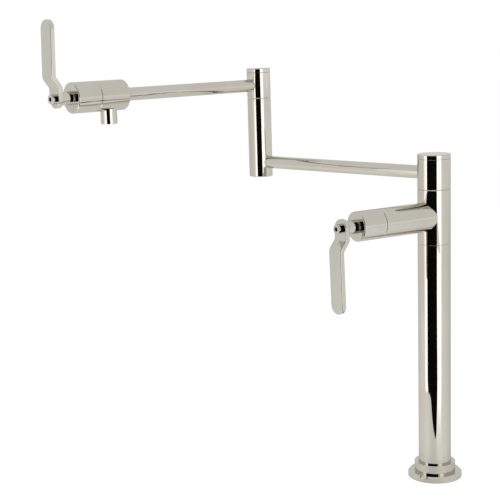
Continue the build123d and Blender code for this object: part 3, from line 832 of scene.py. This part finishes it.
class POTFILLER_OT_studio(bpy.types.Operator):
    """Set up the floor, the soft light, the surroundings that the metal reflects and the camera"""
    bl_idname = "potfiller.studio"
    bl_label = "Studio and camera"

    def execute(self, context):
        look = context.scene.potfiller_studio
        room_group()
        self.world(look)
        self.floor(look)
        self.dark_side()
        self.panels(look)
        self.light("Left light", *LEFT_LIGHT, look.side)
        self.light("Right light", *RIGHT_LIGHT, look.side)
        self.overhead(look)
        self.camera(context.scene)
        context.scene.view_settings.view_transform = "Standard"
        return {"FINISHED"}

    def world(self, look):
        """Soft light from all around, seen as white by the camera and as the pale room by the metal."""
        world = bpy.data.worlds.new("Soft studio")
        bpy.context.scene.world = world
        world.use_nodes = True
        tree = world.node_tree
        place = tree.nodes.new("ShaderNodeTexCoord").outputs["Generated"]
        bright = self.brightness(tree, place, far=1.0, plain=1.0)
        strength = mix_values(tree, self.seen(tree), look.ambient, bright)
        fill_inputs(tree, tree.nodes["Background"], {"Color": (1, 1, 1, 1), "Strength": strength})

    def seen(self, tree):
        """One for a ray from the camera or by way of metal or glass, and otherwise zero."""
        path = tree.nodes.new("ShaderNodeLightPath")
        direct = maths(tree, "MAXIMUM", path.outputs["Is Camera Ray"], path.outputs["Is Glossy Ray"])
        return maths(tree, "MAXIMUM", direct, path.outputs["Is Transmission Ray"])

    def brightness(self, tree, place, far, plain):
        """A plain brightness for the camera, and for the metal that of the table or the room behind it."""
        path = tree.nodes.new("ShaderNodeLightPath")
        room = place_group(tree, "Pale room", {"Place": place, "Far": far})
        return mix_values(tree, path.outputs["Is Glossy Ray"], plain, room.outputs["Brightness"])

    def floor(self, look):
        """A pale floor that shows as the white background, apart from the object's shadow."""
        material, tree, shader = self.matt("Pale floor", look.floor, roughness=0.9)
        place = tree.nodes.new("ShaderNodeTexCoord").outputs["Object"]
        far = smooth_step(tree, length(tree, place), start=1.2, end=4.0)
        glow = add_node(tree, "ShaderNodeEmission", {
            "Color": (1, 1, 1, 1), "Strength": self.brightness(tree, place, far, look.glow)})
        share = maths(tree, "MULTIPLY", self.seen(tree), FLOOR_GLOW_SHARE)
        mix = add_node(tree, "ShaderNodeMixShader", {
            "Fac": share, 1: shader.outputs["BSDF"], 2: glow.outputs["Emission"]})
        fill_inputs(tree, tree.nodes["Material Output"], {"Surface": mix.outputs["Shader"]})
        corners = [(FLOOR_REACH * x, FLOOR_REACH * y, 0) for x, y in ((-1, -1), (1, -1), (1, 1), (-1, 1))]
        self.card("Floor", corners, material, unseen=False)

    def matt(self, name, colour, roughness):
        """A new material without any shine, with its node tree and its Principled shader."""
        material, tree, shader = surface(name)
        fill_inputs(tree, shader, {
            "Base Color": (*colour, 1), "Roughness": roughness, "Specular IOR Level": 0.0})
        return material, tree, shader

    def card(self, name, corners, material, unseen=True):
        """A flat stage piece. An unseen one shows only in the metal."""
        piece = new_piece(name, corners, [tuple(range(len(corners)))])
        piece.data.materials.append(material)
        if unseen:
            piece.visible_camera = False
            piece.visible_diffuse = False
            piece.visible_shadow = False
            piece.visible_transmission = False

    def patch(self, name, outline, material):
        """An unseen card that lies on the floor, its outline given from above."""
        self.card(name, [(x, y, FLOOR_CARD_HEIGHT) for x, y in outline], material)

    def wall(self, name, start, end, low, high, material):
        """An unseen card that stands on the line from start to end."""
        self.card(name, [(*start, low), (*end, low), (*end, high), (*start, high)], material)

    def glowing(self, name, brightness, edge_brightness, edge, inner):
        """A glow that rises smoothly from one brightness at a point to the full one at another."""
        material, tree, shader = surface(name)
        tree.nodes.remove(shader)
        across = Vector((*inner, 0)) - Vector((*edge, 0))
        place = tree.nodes.new("ShaderNodeTexCoord").outputs["Object"]
        from_edge = add_node(
            tree, "ShaderNodeVectorMath", {0: place, 1: (*edge, 0)}, operation="SUBTRACT")
        along = add_node(tree, "ShaderNodeVectorMath", {
            0: from_edge.outputs["Vector"], 1: across / across.length_squared}, operation="DOT_PRODUCT")
        strength = smooth_step(tree, along.outputs["Value"], 0.0, 1.0, edge_brightness, brightness)
        glow = add_node(tree, "ShaderNodeEmission", {"Color": (1, 1, 1, 1), "Strength": strength})
        fill_inputs(tree, tree.nodes["Material Output"], {"Surface": glow.outputs["Emission"]})
        return material

    def dark_side(self):
        """The unlit room in front of the white table, round the camera and to its left."""
        material = self.matt("Dark room", (0.004, 0.004, 0.004), roughness=1.0)[0]
        self.patch("Dark room floor", DARK_LEFT_SIDE + DARK_RIGHT_SIDE[::-1], material)
        self.wall("Dark room wall", LEFT_POST, RIGHT_POST, 0.0, DARK_WALL_TOP, material)

    def panels(self, look):
        """The two lit panels beside the dark side, and the light that they throw on the table."""
        left = self.glowing(
            "Left panel glow", look.panel, PANEL_EDGE_GLOW, LEFT_PANEL_END, LEFT_PANEL_FULL)
        self.wall("Left panel", LEFT_POST, LEFT_PANEL_END, 0.0, PANEL_TOP, left)
        self.patch("Left table light", LEFT_TABLE_LIGHT, left)
        right = self.glowing(
            "Right panel glow", look.panel, PANEL_EDGE_GLOW, RIGHT_PANEL_END, RIGHT_PANEL_FULL)
        self.wall("Right panel", RIGHT_POST, RIGHT_PANEL_END, RIGHT_PANEL_FOOT, PANEL_TOP, right)
        table = self.glowing(
            "Right table glow", look.panel, TABLE_EDGE_GLOW, TABLE_GLOW_EDGE, TABLE_GLOW_FULL)
        self.patch("Right table light", DARK_RIGHT_SIDE + RIGHT_TABLE_LIGHT[::-1], table)

    def light(self, name, start, end, brightness):
        """A tall soft light that stands on the line from start to end and faces the object."""
        first, second, up = Vector((*start, 0)), Vector((*end, 0)), Vector((0, 0, 1))
        middle = (first + second) / 2 + up * LIGHT_HEIGHT / 2
        facing = (second - first).normalized().cross(up)
        if facing.dot(Vector((*OBJECT_MIDDLE, middle.z)) - middle) < 0:
            facing = -facing
        self.lamp(name, (second - first).length, LIGHT_HEIGHT, brightness,
                  self.axes(facing.cross(up), up, -facing, middle))

    def overhead(self, look):
        """A large soft light above the object."""
        self.lamp("Overhead light", OVERHEAD_WIDTH, OVERHEAD_LENGTH, look.overhead,
                  Matrix.Translation(OVERHEAD_PLACE))

    def lamp(self, name, width, height, brightness, placement):
        """A rectangular lamp that lights the object and the floor but shows in neither."""
        data = bpy.data.lights.new(name, "AREA")
        data.shape = "RECTANGLE"
        data.size, data.size_y = width, height
        data.energy = brightness * math.pi * width * height
        lamp = bpy.data.objects.new(name, data)
        bpy.context.scene.collection.objects.link(lamp)
        lamp.matrix_world = placement
        lamp.visible_camera = False
        lamp.visible_glossy = False

    def axes(self, x, y, z, origin):
        """A placement with the given axes."""
        matrix = Matrix((x, y, z)).transposed().to_4x4()
        matrix.translation = origin
        return matrix

    def camera(self, scene):
        """The camera at the photograph's place and angle."""
        data = bpy.data.cameras.new("Camera")
        data.sensor_width = 36.0
        data.lens = CAMERA_LENS
        camera = bpy.data.objects.new("Camera", data)
        scene.collection.objects.link(camera)
        pitch, roll = CAMERA_PITCH, CAMERA_ROLL
        forward = Vector((0, math.cos(pitch), -math.sin(pitch)))
        right, up = Vector((1, 0, 0)), Vector((0, math.sin(pitch), math.cos(pitch)))
        x = right * math.cos(roll) + up * math.sin(roll)
        y = up * math.cos(roll) - right * math.sin(roll)
        camera.matrix_world = self.axes(x, y, -forward, Vector(CAMERA_PLACE))
        data.clip_start, data.clip_end = 0.05, 60
        scene.camera = camera


class POTFILLER_PT_panel(bpy.types.Panel):
    """Lists the pot filler's steps"""
    bl_label = "Pot Filler"
    bl_idname = "POTFILLER_PT_panel"
    bl_space_type = "VIEW_3D"
    bl_region_type = "UI"
    bl_category = "Pot Filler"

    def draw(self, context):
        for step in STEPS:
            self.layout.operator(step.bl_idname)
        for name in GROUPS:
            box = self.layout.box()
            settings = getattr(context.scene, name)
            for label in settings.__annotations__:
                box.prop(settings, label)


GROUPS = {
    "potfiller_nickel": PotFillerNickel,
    "potfiller_trim": PotFillerTrim,
    "potfiller_threads": PotFillerThreads,
    "potfiller_fittings": PotFillerFittings,
    "potfiller_studio": PotFillerStudio,
}
STEPS = (
    POTFILLER_OT_nickel, POTFILLER_OT_trim, POTFILLER_OT_flange, POTFILLER_OT_threads, POTFILLER_OT_screen,
    POTFILLER_OT_fittings, POTFILLER_OT_studio)
CLASSES = (*GROUPS.values(), *STEPS, POTFILLER_PT_panel)


def register():
    """Adds the pot filler's settings, steps and panel to Blender."""
    for item in CLASSES:
        bpy.utils.register_class(item)
    for name, group in GROUPS.items():
        setattr(bpy.types.Scene, name, bpy.props.PointerProperty(type=group))


def unregister():
    """Takes the pot filler's settings, steps and panel out of Blender."""
    for name in GROUPS:
        delattr(bpy.types.Scene, name)
    for item in reversed(CLASSES):
        bpy.utils.unregister_class(item)


def main():
    register()
    bpy.ops.potfiller.nickel()
    bpy.ops.potfiller.trim()
    bpy.ops.potfiller.flange()
    bpy.ops.potfiller.threads()
    bpy.ops.potfiller.screen()
    bpy.ops.potfiller.fittings()
    bpy.ops.potfiller.studio()


if __name__ == "__main__":
    main()
